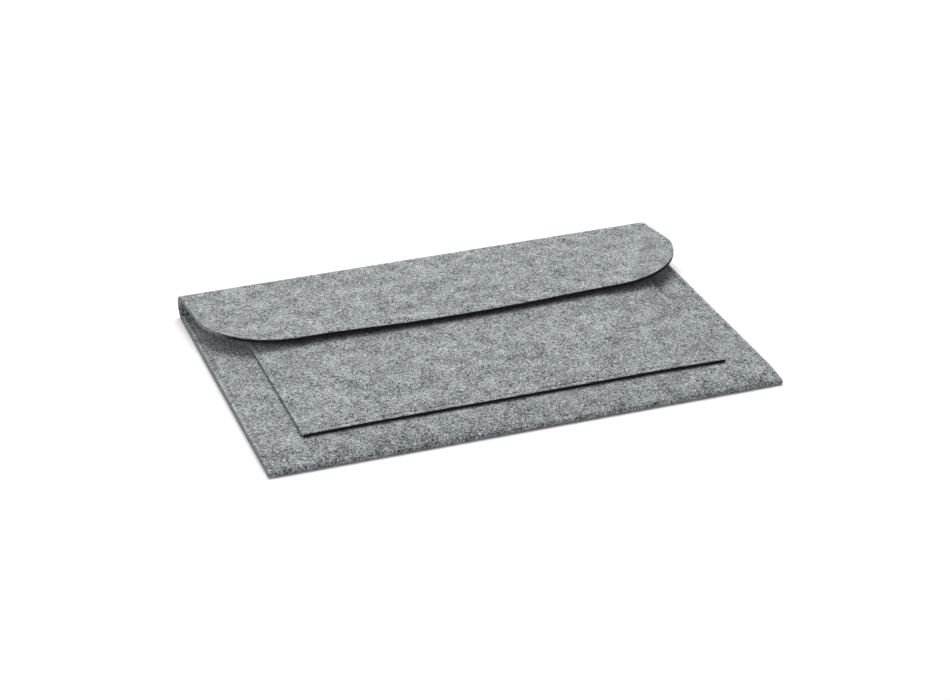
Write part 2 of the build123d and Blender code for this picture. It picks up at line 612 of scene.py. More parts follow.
def stations(start: float, end: float, step: float, finer: tuple[float, ...] = ()) -> np.ndarray:
    """Places along a line, closer together about the places where the felt is sewn.

    Args:
        start: the first place.
        end: the last place.
        step: the usual spacing.
        finer: middles of the seams that need closer places.

    Returns:
        The places in order.
    """
    places = np.linspace(start, end, max(2, round(abs(end - start) / step) + 1))
    for middle in finer:
        places = places[np.abs(places - middle) > SEAM_PLACES[-1] + SEAM_CLEAR]
        places = np.append(places, middle + SEAM_PLACES)
    low, high = sorted((start, end))
    places = places[(places > low + EDGE_CLEAR) & (places < high - EDGE_CLEAR)]
    places = np.unique(np.round(np.concatenate([places, [low, high]]), 7))
    return places if end > start else places[::-1]


class Uneven(Enum):
    """The kinds of unevenness, and where in the noise each is read."""

    LUMPS = 2.0
    WAVES = 4.0
    PILE = 7.0


def unevenness(x: np.ndarray, y: np.ndarray, wavelength: float, kind: Uneven) -> np.ndarray:
    """Slow, smooth unevenness between -1 and 1.

    Args:
        x: places across.
        y: places along.
        wavelength: its usual length, in metres.
        kind: which unevenness it is.

    Returns:
        One value for each place.
    """
    pairs = zip(np.ravel(x) / wavelength, np.ravel(y) / wavelength)
    return np.array([noise.noise(Vector((a, b, kind.value))) for a, b in pairs]).reshape(np.shape(x))


def dress(piece: bpy.types.Object, *materials: bpy.types.Material) -> None:
    """Give a piece its materials.

    Args:
        piece: the object.
        materials: the materials, in slot order.
    """
    piece.data.materials.clear()
    for material in materials:
        piece.data.materials.append(material)


# ---------------------------------------------------------------------------------------------- the frame


@dataclass(frozen=True)
class Layout:
    """The sleeve's places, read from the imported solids."""

    half: float
    front_y: float
    rear_y: float
    mouth_y: float
    felt: float
    gap: float
    crown: float
    fold_radius: float
    free_edge_y: float
    free_edge_z: float

    @classmethod
    def read(cls) -> "Layout":
        """Read the nodes' boxes.

        Returns:
            The layout.
        """
        fold_low, fold_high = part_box("front_fold")
        panel_low, panel_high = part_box("front_panel")
        flap_low, flap_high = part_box("flap")
        felt = fold_high[2] - panel_low[2]
        radius = flap_high[2] / 2
        return cls(
            half=panel_high[0],
            front_y=fold_high[1],
            rear_y=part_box("rear_fold_middle")[1][1] - radius,
            mouth_y=panel_high[1],
            felt=felt,
            gap=panel_low[2] - felt,
            crown=panel_high[2] - fold_high[2],
            fold_radius=radius,
            free_edge_y=flap_low[1],
            free_edge_z=flap_low[2] + felt,
        )


class Ground:
    """The height of the pouch's upper layers over their flat margin, shared by all that lies on them."""

    seam_allowance = 6.0 * MM
    side_rise = 78.0 * MM
    front_rise = 104.0 * MM
    pinch = 0.45 * MM
    pinch_width = 9.0 * MM
    wave = 0.45 * MM
    wave_length = 70 * MM
    press = 2.0 * MM
    press_reach = 26.0 * MM

    def __init__(self, layout: Layout) -> None:
        """Keep the layout."""
        self.layout = layout

    def pressed(self, y: np.ndarray) -> np.ndarray:
        """How much of the front fold's pressing is felt here, from 1 at the fold to 0."""
        return (1.0 - np.clip((y - self.layout.front_y) / self.press_reach, 0.0, 1.0)) ** 2

    def lift(self, x: np.ndarray, y: np.ndarray) -> np.ndarray:
        """The crown over the laptop's space, the pinch at the side seams, and the felt's slow waves.

        Args:
            x: places across.
            y: places from front to mouth.

        Returns:
            The height over the flat margin.
        """
        from_side = self.layout.half - np.abs(x)
        side = smoothstep((from_side - self.seam_allowance) / self.side_rise)
        front = smoothstep((y - self.layout.front_y) / self.front_rise)
        pinched = 1.0 - smoothstep((from_side - self.seam_allowance) / self.pinch_width)
        waves = (unevenness(x, y, self.wave_length, Uneven.WAVES) - 1.0) * self.wave * side * front
        return self.layout.crown * side * front - self.pinch * pinched - self.press * self.pressed(y) + waves


# ---------------------------------------------------------------------------------------------- felt


@dataclass
class FeltSheet:
    """A sheet of felt, laid as a flat grid on its middle surface and then given its thickness.

    Attributes:
        name: the piece's name.
        felt: its thickness.
        finishes: the materials of its faces and of its cut edges.
        columns: flat places across, from one side to the other.
        rows: flat places along.
        surface: the middle surface's points for flat places across and along.
        joined: rows along which it carries on in another piece, so that no edge is cut there.
        squeeze: how deep each face is drawn in by stitches and folds, for flat places.
        painted_edge_shade: how much painted shade darkens its cut edge, from 0 to 1, for flat places.
        unroll: where a row lies in the fibre pattern, for flat places along.
        round_over: radius of the cut edges.
        lumps: half the depth of the felt's unevenness.
        lump_length: its usual length.
        fade: how far from a joined row the unevenness sets in.
        seam_painted_shade_depth: how deep a face is drawn in where its painted shade is darkest.
    """

    name: str
    felt: float
    finishes: tuple[bpy.types.Material, bpy.types.Material]
    columns: np.ndarray
    rows: np.ndarray
    surface: Field
    joined: tuple[float, ...] = ()
    squeeze: Field | None = None
    painted_edge_shade: Field | None = None
    unroll: Callable[[np.ndarray], np.ndarray] | None = None
    round_over: float = 0.28 * MM
    lumps: float = 0.10 * MM
    lump_length: float = 9.0 * MM
    fade: float = 8.0 * MM
    seam_painted_shade_depth: float = 0.6 * MM

    def build(self) -> bpy.types.Object:
        """Model the sheet and keep each point's place in the felt.

        Returns:
            The closed sheet.
        """
        piece = self.lay_grid()
        apply_modifier(piece, "SOLIDIFY", thickness=self.felt, offset=0.0, material_offset_rim=1)
        self.mark_cut_edges(piece)
        apply_modifier(piece, "BEVEL", width=self.round_over, segments=2, limit_method="WEIGHT", material=0)
        face_outwards(piece)
        self.press_and_place(piece)
        bpy.ops.object.shade_smooth_by_angle(angle=SHARP)
        return piece

    def lay_grid(self) -> bpy.types.Object:
        """Add a grid, and lay its points on the middle surface.

        Returns:
            The grid, which keeps each point's flat place.
        """
        deselect()
        across, along = len(self.columns) - 1, len(self.rows) - 1
        bpy.ops.mesh.primitive_grid_add(x_subdivisions=across, y_subdivisions=along, size=1.0)
        piece = bpy.context.object
        piece.name = piece.data.name = self.name
        dress(piece, *self.finishes)
        spots = points_of(piece)
        column = np.rint((spots[:, 0] + 0.5) * across).astype(int)
        row = np.rint((spots[:, 1] + 0.5) * along).astype(int)
        x, y = self.columns[column], self.rows[row]
        write_field(piece, FLAT_X, x)
        write_field(piece, FLAT_Y, y)
        move_points(piece, self.surface(x, y))
        return piece

    def mark_cut_edges(self, piece: bpy.types.Object) -> None:
        """Give a bevel weight to the sharp edges, except along the joined rows.

        Args:
            piece: the closed sheet.
        """
        along = read_field(piece, FLAT_Y)
        across = read_field(piece, FLAT_X)
        mesh = bmesh.new()
        mesh.from_mesh(piece.data)
        mesh.verts.ensure_lookup_table()
        weight = mesh.edges.layers.float.new("bevel_weight_edge")
        joined = np.zeros(len(along), bool)
        for row in self.joined:
            joined |= np.abs(along - row) < TOUCHING
        for edge in mesh.edges:
            first, second = (v.index for v in edge.verts)
            sharp = edge.calc_face_angle(0.0) > SHARP
            upright = abs(across[first] - across[second]) + abs(along[first] - along[second]) < TOUCHING
            if sharp and not (joined[first] and (joined[second] or upright)):
                edge[weight] = 1.0
        mesh.to_mesh(piece.data)
        mesh.free()

    def press_and_place(self, piece: bpy.types.Object) -> None:
        """Draw the faces in, roughen them, and keep each point's place for the fibre pattern.

        Args:
            piece: the closed sheet.
        """
        x, y = read_field(piece, FLAT_X), read_field(piece, FLAT_Y)
        points = points_of(piece)
        step = 0.05 * MM
        middle = self.surface(x, y)
        normal = np.cross(self.surface(x + step, y) - middle, self.surface(x, y + step) - middle)
        normal /= np.maximum(np.linalg.norm(normal, axis=1), TINY)[:, None]
        depth = ((points - middle) * normal).sum(axis=1)
        side = np.clip(depth / (self.felt / 2), -1.0, 1.0)
        from_join = np.full_like(y, 1.0)
        for row in self.joined:
            from_join = np.minimum(from_join, np.abs(y - row))
        uneven = unevenness(x, y + side * self.fade, self.lump_length, Uneven.LUMPS)
        inward = self.lumps * (1.0 - uneven) * smoothstep(from_join / self.fade)
        drawn = np.zeros_like(x) if self.squeeze is None else self.squeeze(x, y)
        pattern = y if self.unroll is None else self.unroll(y)
        write_field(piece, PLACE, np.stack([middle[:, 0], pattern, depth], axis=1))
        # Keep the share of painted shade, from how deep the face is drawn in.
        write_field(piece, PAINTED_SHADE_DRAWN_IN, np.clip(drawn / self.seam_painted_shade_depth, 0.0, 1.0))
        # Keep the share of painted shade on the cut edges.
        write_field(piece, PAINTED_EDGE_SHADE, np.zeros_like(x) if self.painted_edge_shade is None else self.painted_edge_shade(x, y))
        move_points(piece, points - normal * (side * (inward + drawn))[:, None])


@dataclass
class Palette:
    """The materials that the pieces share."""

    sheet: tuple[bpy.types.Material, bpy.types.Material]
    thread: bpy.types.Material
    hook: bpy.types.Material
    loop: bpy.types.Material

    @classmethod
    def mix(cls) -> "Palette":
        """Build them.

        Returns:
            The palette.
        """
        return cls(
            sheet=(FeltFinish().material(), CutEdgeFinish().material()),
            thread=ThreadFinish().material(),
            hook=TapeFinish("hook_tape", dark=0.008, pale=0.03, roughness=0.5, pile=0.0).material(),
            loop=TapeFinish("loop_tape", dark=0.012, pale=0.06, roughness=0.95, pile=0.4).material(),
        )


class Stretch(Enum):
    """The rear fold's quarters: the angle where each starts, the bodies that it joins, and its node."""

    ROOT = (0, "pouch", "fold_strip_lower", "rear_fold_lower")
    LOWER = (45, "fold_strip_lower", "fold_strip_middle", "rear_fold_middle")
    UPPER = (90, "fold_strip_middle", "fold_strip_upper", "rear_fold_upper")
    TIP = (135, "fold_strip_upper", "flap", "rear_fold_upper")


@dataclass
class Pouch:
    """Back panel, front fold and front panel: one stretch of the felt strip, sewn along both sides."""

    layout: Layout
    ground: Ground
    palette: Palette
    grid: float = 4.0 * MM
    seam_depth: float = 0.5 * MM
    seam_width: float = 1.5 * MM
    seam_inset: float = 3.5 * MM
    seam_fade: float = 3.0 * MM
    fold_squeeze: float = 0.8 * MM
    fold_rows: int = 17
    fold_clear: float = 1.5 * MM
    # Painted shade on the cut edges of the sewn sides, from 0 to 1.
    side_painted_shade: float = 0.3

    @property
    def fold_height(self) -> float:
        """The pressed fold's height."""
        return 2 * self.layout.felt + self.layout.gap - self.ground.press

    @property
    def bend_radius(self) -> float:
        """The front fold's radius at the felt's middle."""
        return (self.fold_height - self.layout.felt + self.fold_squeeze) / 2

    @property
    def half_fold(self) -> float:
        """Half the front fold's length, at the felt's middle."""
        return self.bend_radius * math.pi / 2

    @property
    def bend_y(self) -> float:
        """Where both panels run into the front fold."""
        return self.layout.front_y - self.layout.felt - self.layout.gap / 2 + self.fold_height / 2

    @property
    def back_end(self) -> float:
        """Where the back panel ends and the rear fold starts, along the strip."""
        return self.half_fold + self.layout.rear_y - self.bend_y

    @property
    def mouth_end(self) -> float:
        """Where the front panel ends, along the strip the other way."""
        return -(self.half_fold + self.layout.mouth_y - self.bend_y)

    def surface(self, x: np.ndarray, along: np.ndarray) -> np.ndarray:
        """The middle surface: flat back panel, pressed front fold and crowned front panel.

        Args:
            x: places across.
            along: places along the strip, 0 at the front of the fold.

        Returns:
            The points.
        """
        turn = np.clip(along, -self.half_fold, self.half_fold) / self.bend_radius
        past = np.maximum(np.abs(along) - self.half_fold, 0.0)
        y = self.bend_y + past - self.bend_radius * np.cos(turn)
        thin = self.layout.felt - self.fold_squeeze * self.ground.pressed(y)
        low = thin / 2
        high = 2 * self.layout.felt + self.layout.gap + self.ground.lift(x, y) - thin / 2
        z = low + (high - low) * (1.0 - np.sin(turn)) / 2
        return np.stack([x + 0 * y, y, z], axis=1)

    def squeeze(self, x: np.ndarray, along: np.ndarray) -> np.ndarray:
        """How deep the side seams and the pressed fold draw the felt's faces in.

        Args:
            x: places across.
            along: places along the strip.

        Returns:
            The depth at each place.
        """
        y = self.bend_y + np.maximum(np.abs(along) - self.half_fold, 0.0)
        from_seam = np.abs(np.abs(x) - (self.layout.half - self.seam_inset))
        sewn = smoothstep((y - self.bend_y) / self.seam_fade)
        sewn = sewn * (1.0 - smoothstep((y - self.layout.mouth_y) / self.seam_fade))
        seam = self.seam_depth * (1.0 - smoothstep(from_seam / self.seam_width)) * sewn
        return seam + self.fold_squeeze / 2 * self.ground.pressed(y)

    def painted_edge_shade(self, x: np.ndarray, along: np.ndarray) -> np.ndarray:
        """How much painted shade darkens the cut edge: fully at the mouth, and a little along the sewn sides.

        Args:
            x: places across; not used.
            along: places along the strip.

        Returns:
            The share at each place.
        """
        at_mouth = 1.0 - smoothstep((along - self.mouth_end) / self.seam_fade)
        return self.side_painted_shade + (1.0 - self.side_painted_shade) * at_mouth

    def unroll(self, along: np.ndarray) -> np.ndarray:
        """Where a row lies in the fibre pattern, which the fold's outside stretches."""
        stretch = self.fold_height / 2 / self.bend_radius - 1.0
        return along + stretch * np.clip(along, -self.half_fold, self.half_fold)

    def build(self) -> bpy.types.Object:
        """Returns:
            The piece.
        """
        seam = self.layout.half - self.seam_inset
        columns = stations(-self.layout.half, self.layout.half, self.grid, (-seam, seam))
        roll = np.linspace(-self.half_fold, self.half_fold, self.fold_rows)
        front = stations(self.mouth_end, roll[0] - self.fold_clear, self.grid)
        back = stations(roll[-1] + self.fold_clear, self.back_end, self.grid)
        rows = np.concatenate([front, roll, back])
        piece = FeltSheet(
            "pouch_felt", self.layout.felt, self.palette.sheet, columns, rows, self.surface,
            joined=(self.back_end,), squeeze=self.squeeze, painted_edge_shade=self.painted_edge_shade, unroll=self.unroll,
        ).build()
        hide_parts("back_panel", "front_fold", "front_panel")
        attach(piece, "pouch")
        return piece


@dataclass
class RearFold:
    """The springy loop between the back panel and the flap, in four quarters."""

    layout: Layout
    pouch: Pouch
    palette: Palette
    grid: float = 4.0 * MM
    quarter: float = 45.0
    quarter_rows: int = 13
    crease: float = 0.08 * MM
    slip: float = 0.6 * MM
    drift: float = 5.8 * MM
    drift_start: float = 5.0 * MM
    drift_reach: float = 72.0 * MM
    widening: float = 0.4
    # Painted shade on the loop's side edges, from 0 to 1.
    end_painted_shade: float = 0.55

    @property
    def bend_radius(self) -> float:
        """The loop's radius at the felt's middle."""
        return self.layout.fold_radius - self.layout.felt / 2

    def point(self, degrees: float) -> tuple[float, float, float]:
        """Find a point on the loop's middle line.

        Args:
            degrees: its turn from the back panel.

        Returns:
            The point.
        """
        turn = math.radians(degrees)
        y = self.layout.rear_y + self.bend_radius * math.sin(turn)
        return 0.0, y, self.layout.fold_radius - self.bend_radius * math.cos(turn)

    def surface(self, x: np.ndarray, along: np.ndarray) -> np.ndarray:
        """The loop's middle surface.

        Args:
            x: places across.
            along: places along the strip.

        Returns:
            The points.
        """
        turn = (along - self.pouch.back_end) / self.bend_radius
        share = turn / math.radians(self.quarter) % 1.0
        radius = self.bend_radius + self.crease * (4 * share * (1.0 - share)) ** 2
        y = self.layout.rear_y + radius * np.sin(turn)
        z = self.layout.fold_radius - radius * np.cos(turn)
        return np.stack([x + self.aside(x, along), y, z], axis=1)

    def aside(self, x: np.ndarray, along: np.ndarray) -> np.ndarray:
        """How far the strip lies aside, because it isn't folded quite square.

        It slips to the left in the loop and drifts to the right on the flap. The right side moves more, so
        the flap is a little wider than the pouch.

        Args:
            x: places across.
            along: places along the strip.

        Returns:
            The distance to the right at each place.
        """
        past = along - self.pouch.back_end
        slipped = self.slip * smoothstep(past / (math.pi * self.bend_radius))
        drifted = self.drift * smoothstep((past - self.drift_start) / self.drift_reach)
        return (1.0 + self.widening * x / self.layout.half) * (drifted - slipped)

    def painted_edge_shade(self, x: np.ndarray, along: np.ndarray) -> np.ndarray:
        """How much painted shade darkens the loop's side edges, the same everywhere."""
        return np.full_like(x, self.end_painted_shade)

    def build(self) -> list[bpy.types.Object]:
        """Model the four quarters.

        Returns:
            The pieces, from the back panel to the flap.
        """
        seam = self.layout.half - self.pouch.seam_inset
        columns = stations(-self.layout.half, self.layout.half, self.grid, (-seam, seam))
        pieces = []
        for stretch in Stretch:
            start_angle, near_body, far_body, node = stretch.value
            turns = np.radians(np.linspace(start_angle, start_angle + self.quarter, self.quarter_rows))
            rows = self.pouch.back_end + turns * self.bend_radius
            ends = (float(rows[0]), float(rows[-1]))
            name = f"rear_fold_{stretch.name.lower()}_felt"
            piece = FeltSheet(
                name, self.layout.felt, self.palette.sheet, columns, rows, self.surface,
                joined=ends, painted_edge_shade=self.painted_edge_shade, lumps=0.0,
            ).build()
            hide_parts(node)
            start, end = self.point(start_angle), self.point(start_angle + self.quarter)
            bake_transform(piece)
            pieces.append(piece)
        return pieces


@dataclass
class Flap:
    """The wide flap with round front corners, which lies forward over the pocket."""

    layout: Layout
    fold: RearFold
    palette: Palette
    left_radius: float = 64.0 * MM
    right_radius: float = 70.0 * MM
    corner_overrun: float = 1.1
    # Painted shade on the cut edge: a part of the loop's at the root, rising to full round the front between
    # two shares of the reach.
    root_painted_shade: float = 0.5
    painted_shade_start: float = 0.62
    painted_shade_full: float = 0.82
    edge_bow: float = 3.5 * MM
    bow_reach: float = 120.0 * MM
    edge_lift: float = 0.8 * MM
    left_lift: float = 2.0 * MM
    right_lift: float = 1.2 * MM
    lift_start: float = 0.2
    lift_reach: float = 0.6
    grid: float = 4.0 * MM

    @property
    def start(self) -> float:
        """Where the flap starts, along the strip."""
        return self.fold.pouch.back_end + math.pi * self.fold.bend_radius

    @property
    def reach(self) -> float:
        """From the rear fold to the free edge."""
        return self.layout.rear_y - self.layout.free_edge_y

    def round_corners(self, x: np.ndarray, forward: np.ndarray) -> tuple[np.ndarray, np.ndarray]:
        """Turn the square front corners into quarter circles, with the felt inside them following.

        Args:
            x: places across on the square sheet.
            forward: places forward of the rear fold on the square sheet.

        Returns:
            The same places on the cut sheet.
        """
        radius = np.where(x < 0, self.left_radius, self.right_radius)
        inner_x = self.layout.half - radius
        inner_y = self.reach - radius
        aside = np.clip((np.abs(x) - inner_x) / radius, 0.0, self.corner_overrun)
        ahead = np.clip((forward - inner_y) / radius, 0.0, self.corner_overrun)
        across = np.minimum(np.abs(x), inner_x) + radius * aside * np.sqrt(1.0 - ahead**2 / 2)
        reached = np.minimum(forward, inner_y) + radius * ahead * np.sqrt(1.0 - aside**2 / 2)
        return np.sign(x) * across, reached

    def surface(self, x: np.ndarray, along: np.ndarray) -> np.ndarray:
        """The flap's middle surface, drooping to the closure and lifting at its corners.

        Args:
            x: places across, before the corners are cut.
            along: places along the strip, before the corners are cut.

        Returns:
            The points.
        """
        across, forward = self.round_corners(x, along - self.start)
        share = np.clip(forward / self.reach, 0.0, 1.0)
        forward = forward - self.edge_bow * share * smoothstep(np.abs(across) / self.bow_reach)
        root_z = 2 * self.layout.fold_radius
        droop = (root_z - self.layout.free_edge_z - self.edge_lift) * share**2
        lift = np.where(across < 0, self.left_lift, self.right_lift)
        outward = smoothstep((np.abs(across) / self.layout.half - self.lift_start) / self.lift_reach)
        lift = lift * outward * share**2
        z = root_z - self.layout.felt / 2 - droop + np.minimum(lift, droop)
        return np.stack([across + self.fold.aside(across, along), self.layout.rear_y - forward, z], axis=1)

    def painted_edge_shade(self, x: np.ndarray, along: np.ndarray) -> np.ndarray:
        """How much painted shade darkens the cut edge: fully round the front, fading out along the sides.

        Args:
            x: places across, before the corners are cut.
            along: places along the strip, before the corners are cut.

        Returns:
            The share at each place.
        """
        forward = self.round_corners(x, along - self.start)[1] / self.reach
        front = smoothstep((forward - self.painted_shade_start) / (self.painted_shade_full - self.painted_shade_start))
        root = self.fold.end_painted_shade * self.root_painted_shade
        return root + (1.0 - root) * front

    def build(self) -> bpy.types.Object:
        """Returns:
            The piece.
        """
        seam = self.layout.half - self.fold.pouch.seam_inset
        columns = stations(-self.layout.half, self.layout.half, self.grid, (-seam, seam))
        rows = self.start + stations(0.0, self.reach, self.grid)
        piece = FeltSheet(
            "flap_felt", self.layout.felt, self.palette.sheet, columns, rows, self.surface,
            joined=(self.start,), painted_edge_shade=self.painted_edge_shade,
        ).build()
        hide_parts("flap")
        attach(piece, "flap")
        return piece


@dataclass
class Pocket:
    """The felt rectangle sewn to the front panel on three sides."""

    layout: Layout
    ground: Ground
    palette: Palette
    grid: float = 4.0 * MM
    seam_inset: float = 4.0 * MM
    seam_depth: float = 0.45 * MM
    seam_width: float = 1.6 * MM
    clearance: float = 0.05 * MM
    strip_offset: float = 0.4
    # Painted shade on the cut edges at the sides, and the length over which it rises to full at the front and
    # the mouth.
    side_painted_shade: float = 0.45
    painted_shade_fade: float = 1.5 * MM

    def box(self) -> tuple[float, float, float, float]:
        """Its left edge, right edge, front edge and mouth."""
        low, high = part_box("pocket_panel")
        return low[0], high[0], low[1], high[1]

    def surface(self, x: np.ndarray, along: np.ndarray) -> np.ndarray:
        """The pocket's middle surface, lying on the front panel.

        Args:
            x: places across.
            along: places from its front edge, offset so that its pattern isn't the front panel's.

        Returns:
            The points.
        """
        y = along - self.strip_offset
        level = 2.5 * self.layout.felt + self.layout.gap + self.clearance
        return np.stack([x + 0 * y, y, level + self.ground.lift(x, y)], axis=1)

    def squeeze(self, x: np.ndarray, along: np.ndarray) -> np.ndarray:
        """How deep the U-shaped seam draws the felt in.

        Args:
            x: places across.
            along: places along.

        Returns:
            The depth at each place.
        """
        left, right, front, _ = self.box()
        beside = (right - left) / 2 - self.seam_inset - np.abs(x - (left + right) / 2)
        ahead = along - self.strip_offset - front - self.seam_inset
        outside = np.hypot(np.minimum(beside, 0), np.minimum(ahead, 0))
        from_seam = np.where((beside > 0) & (ahead > 0), np.minimum(beside, ahead), outside)
        return self.seam_depth * (1.0 - smoothstep(from_seam / self.seam_width))

    def painted_edge_shade(self, x: np.ndarray, along: np.ndarray) -> np.ndarray:
        """How much painted shade darkens the cut edge: fully along the front and the mouth, and less at the
        sides.

        Args:
            x: places across; not used.
            along: places along.

        Returns:
            The share at each place.
        """
        _, _, front, mouth = self.box()
        y = along - self.strip_offset
        inside = smoothstep(np.minimum(y - front, mouth - y) / self.painted_shade_fade)
        return 1.0 - (1.0 - self.side_painted_shade) * inside

    def build(self) -> bpy.types.Object:
        """Returns:
            The piece.
        """
        left, right, front, mouth = self.box()
        columns = stations(left, right, self.grid, (left + self.seam_inset, right - self.seam_inset))
        rows = self.strip_offset + stations(front, mouth, self.grid, (front + self.seam_inset,))
        piece = FeltSheet(
            "pocket_felt", self.layout.felt, self.palette.sheet, columns, rows, self.surface,
            squeeze=self.squeeze, painted_edge_shade=self.painted_edge_shade,
        ).build()
        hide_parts("pocket_panel")
        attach(piece, "pouch")
        return piece


# ---------------------------------------------------------------------------------------------- sewing


@dataclass
class Seam:
    """A lockstitch: the same row of stitches on the upper and the lower face of the felt.

    Attributes:
        name: the piece's name.
        node: the CAD node that it stands for.
        corners: the seam's path in plan.
        upper: height of the upper face at places across and along.
        lower: height of the lower face.
        palette: the finishes.
        stitch: the usual length from needle hole to needle hole.
        filled: the share of it that shows thread.
        bends: where a stitch is cut so that it can bend, as shares of its length.
        thread: the thread's diameter.
        sunk: how deep the thread lies in the felt.
        taper: the share of its thickness that it loses at a needle hole.
        dip: how deep its ends go, in diameters.
        short_sway: how far the stitches stray from the line every few stitches.
        short_turn: how far that sway goes round from one stitch to the next, in radians.
        long_sway: how far they stray over a longer stretch.
        long_turn: how far that sway goes round from one stitch to the next.
        run_turn: what sets one run's long sway apart from another's, in radians per metre.
    """

    name: str
    node: str
    corners: list[tuple[float, float]]
    upper: Field
    lower: Field
    palette: Palette
    stitch: float = 3.5 * MM
    filled: float = 0.93
    bends: tuple[float, float, float] = (-0.32, 0.0, 0.32)
    thread: float = 0.55 * MM
    sunk: float = 0.32 * MM
    taper: float = 0.35
    dip: float = 0.9
    short_sway: float = 0.07 * MM
    short_turn: float = 2.4
    long_sway: float = 0.05 * MM
    long_turn: float = 0.7
    run_turn: float = 90.0

    def one_stitch(self) -> bpy.types.Object:
        """Model one stitch along +X: a bar of thread whose ends dip into the felt.

        Returns:
            The stitch, from x = 0 to its length.
        """
        deselect()
        length = self.stitch * self.filled
        lying = (0.0, math.pi / 2, 0.0)
        bpy.ops.mesh.primitive_cylinder_add(
            vertices=6, radius=self.thread / 2, depth=length, rotation=lying, end_fill_type="TRIFAN"
        )
        piece = bpy.context.object
        bpy.ops.object.transform_apply(location=True, rotation=True, scale=True)
        bpy.ops.object.mode_set(mode="EDIT")
        for share in self.bends:
            bpy.ops.mesh.select_all(action="SELECT")
            bpy.ops.mesh.bisect(plane_co=(share * length, 0.0, 0.0), plane_no=(1.0, 0.0, 0.0))
        bpy.ops.object.mode_set(mode="OBJECT")
        points = points_of(piece)
        share = points[:, 0] / (length / 2)
        points[:, 1:] *= (1.0 - self.taper * share**4)[:, None]
        points[:, 2] -= self.thread * self.dip * np.abs(share) ** 3
        points[:, 0] += self.stitch / 2
        move_points(piece, points)
        return piece

    def run(
        self, start: tuple[float, float], end: tuple[float, float], face: Field, up: float
    ) -> bpy.types.Object:
        """Repeat the stitch along one straight run.

        Args:
            start: the run's first needle hole.
            end: its last.
            face: the height of the face that it lies on.
            up: 1 on an upper face, -1 on a lower.

        Returns:
            The run of stitches.
        """
        piece = self.one_stitch()
        reach = math.dist(start, end)
        count = max(1, round(reach / self.stitch))
        pitch = reach / count
        repeat(piece, count, (pitch, 0.0, 0.0))
        points = points_of(piece)
        along = np.array([(end[0] - start[0]) / reach, (end[1] - start[1]) / reach])
        number = np.floor(points[:, 0] / pitch)
        sway = self.short_sway * np.sin(number * self.short_turn)
        sway += self.long_sway * np.sin(number * self.long_turn + start[0] * self.run_turn)
        x = start[0] + along[0] * points[:, 0] - along[1] * (points[:, 1] + sway)
        y = start[1] + along[1] * points[:, 0] + along[0] * (points[:, 1] + sway)
        z = face(x, y) + up * (points[:, 2] - self.sunk)
        move_points(piece, np.stack([x, y, z], axis=1))
        return piece

    def build(self) -> bpy.types.Object:
        """Sew all the runs, and join them.

        Returns:
            The seam's thread.
        """
        runs = []
        for start, end in zip(self.corners, self.corners[1:]):
            runs.append(self.run(start, end, self.upper, 1.0))
            runs.append(self.run(start, end, self.lower, -1.0))
        thread = join(runs)
        thread.name = thread.data.name = self.name
        face_outwards(thread)
        bpy.ops.object.shade_smooth()
        dress(thread, self.palette.thread)
        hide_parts(self.node)
        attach(thread, "pouch")
        return thread


@dataclass
class Sewing:
    """The two side seams and the pocket's U-shaped seam."""

    layout: Layout
    ground: Ground
    pouch: Pouch
    pocket: Pocket
    palette: Palette
    end_inset: float = 3.5 * MM

    def top_of_layers(self, layers: int) -> Field:
        """The height of the felt's upper face, drawn in by the seam.

        Args:
            layers: how many layers of felt it is over.

        Returns:
            The height, for places across and along.
        """
        level = layers * self.layout.felt + (self.layout.gap if layers > 1 else 0.0)

        def height(x: np.ndarray, y: np.ndarray) -> np.ndarray:
            """The height at places across and along."""
            return level + self.ground.lift(x, y) - self.pouch.seam_depth

        return height

    def under_front_panel(self, x: np.ndarray, y: np.ndarray) -> np.ndarray:
        """The height of the front panel's lower face."""
        return self.layout.felt + self.layout.gap + self.ground.lift(x, y)

    def under_back_panel(self, x: np.ndarray, y: np.ndarray) -> np.ndarray:
        """The height of the back panel's lower face, drawn in by the seam."""
        return np.full_like(x, self.pouch.seam_depth)

    def build(self) -> list[bpy.types.Object]:
        """Sew the seams.

        Returns:
            The three threads.
        """
        start = self.layout.front_y + self.end_inset
        end = self.layout.mouth_y - self.end_inset
        threads = []
        for side, word in ((-1, "left"), (1, "right")):
            x = side * (self.layout.half - self.pouch.seam_inset)
            seam = Seam(
                f"{word}_side_thread", f"{word}_side_stitching", [(x, start), (x, end)],
                self.top_of_layers(2), self.under_back_panel, self.palette,
            )
            threads.append(seam.build())
        left, right, front, mouth = self.pocket.box()
        inset = self.pocket.seam_inset
        left, right, front, mouth = left + inset, right - inset, front + inset, mouth - self.end_inset
        corners = [(left, mouth), (left, front), (right, front), (right, mouth)]
        seam = Seam(
            "pocket_thread", "pocket_stitching", corners,
            self.top_of_layers(3), self.under_front_panel, self.palette,
        )
        threads.append(seam.build())
        return threads


# ---------------------------------------------------------------------------------------------- closure


